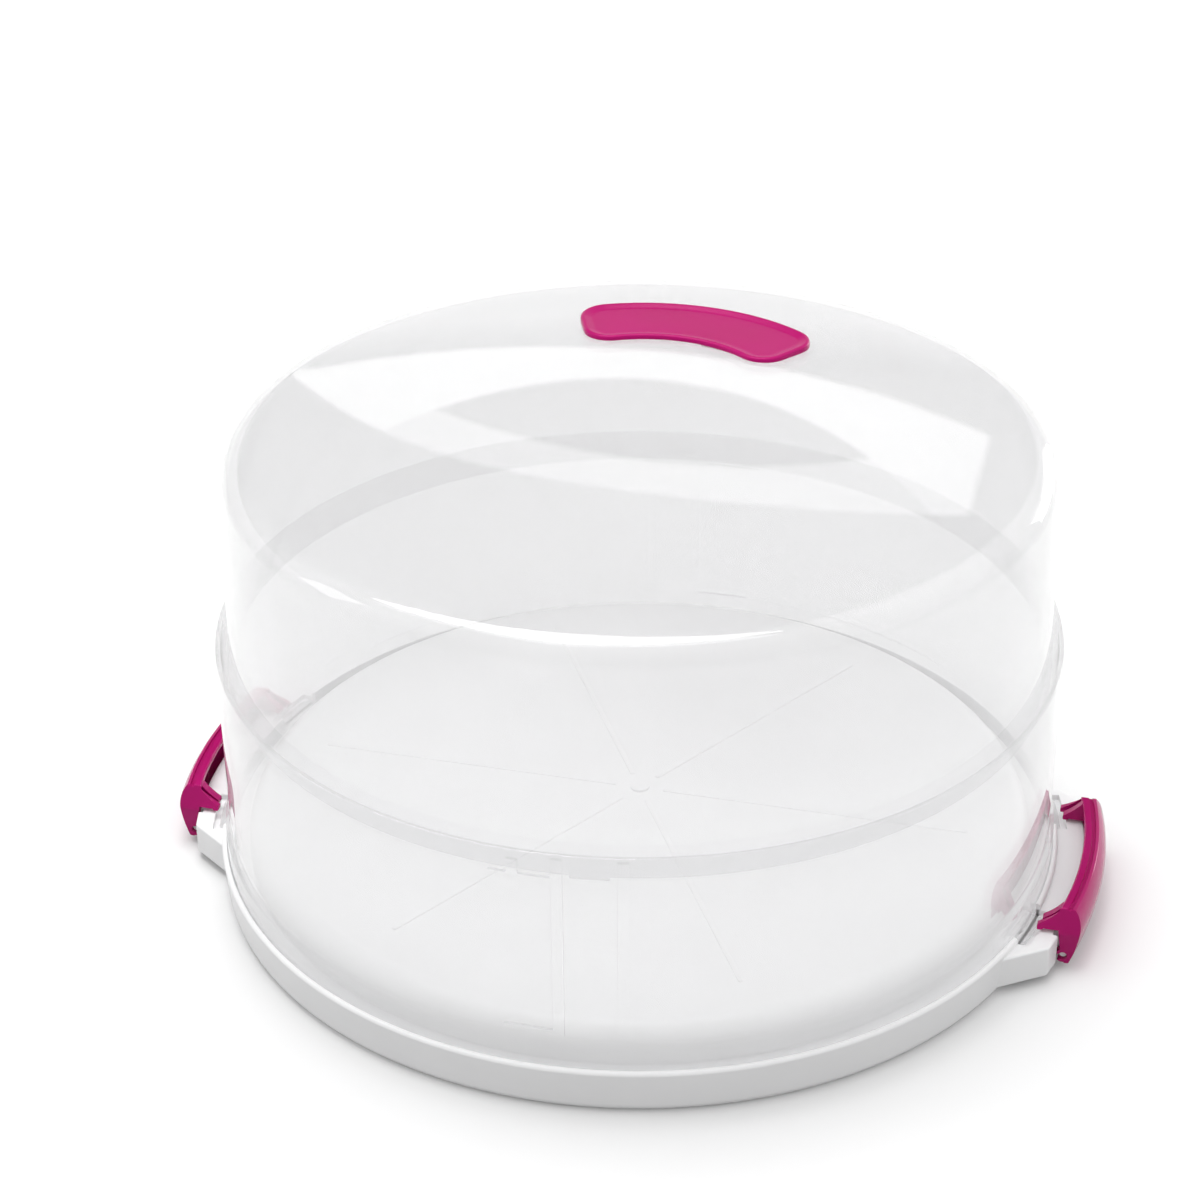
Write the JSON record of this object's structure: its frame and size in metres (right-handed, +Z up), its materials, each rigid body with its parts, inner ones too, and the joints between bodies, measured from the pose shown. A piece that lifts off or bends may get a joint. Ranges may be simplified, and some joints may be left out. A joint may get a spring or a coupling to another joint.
{
  "type": "cake carrier",
  "caption": "Round cake carrier: ribbed tray, clear ring, clear dome that telescopes in the ring, and swinging side clips that hold the ring on the tray.",
  "frame": {"origin": "centre of the tray's underside, on the surface it stands on", "axes": "+Z up along the round body's axis; +X towards one side clip and -X towards the other; the top grip lies towards +Y"},
  "size_m": [0.3882, 0.3488, 0.1978],
  "materials": {
    "tray_white": "satin white polypropylene",
    "clear_plastic": "frosty translucent polypropylene",
    "magenta_plastic": "glossy moulded plastic"
  },
  "bodies": {
    "tray": {"base_tray": "tray_white"},
    "ring": {"lower_ring": "clear_plastic"},
    "dome": {"upper_dome": "clear_plastic", "top_grip": "magenta_plastic", "grip_backing": "magenta_plastic"},
    "right_clip": {"clip_right": "magenta_plastic"},
    "left_clip": {"clip_left": "magenta_plastic"}
  },
  "joints": [
    {"name": "hood_lift", "type": "slide", "parent": "tray", "child": "ring", "axis": [0, 0, 1], "range_m": [0, 0.2]},
    {"name": "dome_slide", "type": "slide", "parent": "ring", "child": "dome", "axis": [0, 0, 1], "range_m": [-0.068, 0]},
    {"name": "right_clip_hinge", "type": "hinge", "parent": "tray", "child": "right_clip", "pos_m": [0.1831, 0, 0.0068], "axis": [0, 1, 0], "range_deg": [-8, 30]},
    {"name": "left_clip_hinge", "type": "hinge", "parent": "tray", "child": "left_clip", "pos_m": [-0.1831, 0, 0.0068], "axis": [0, -1, 0], "range_deg": [-8, 30]}
  ]
}
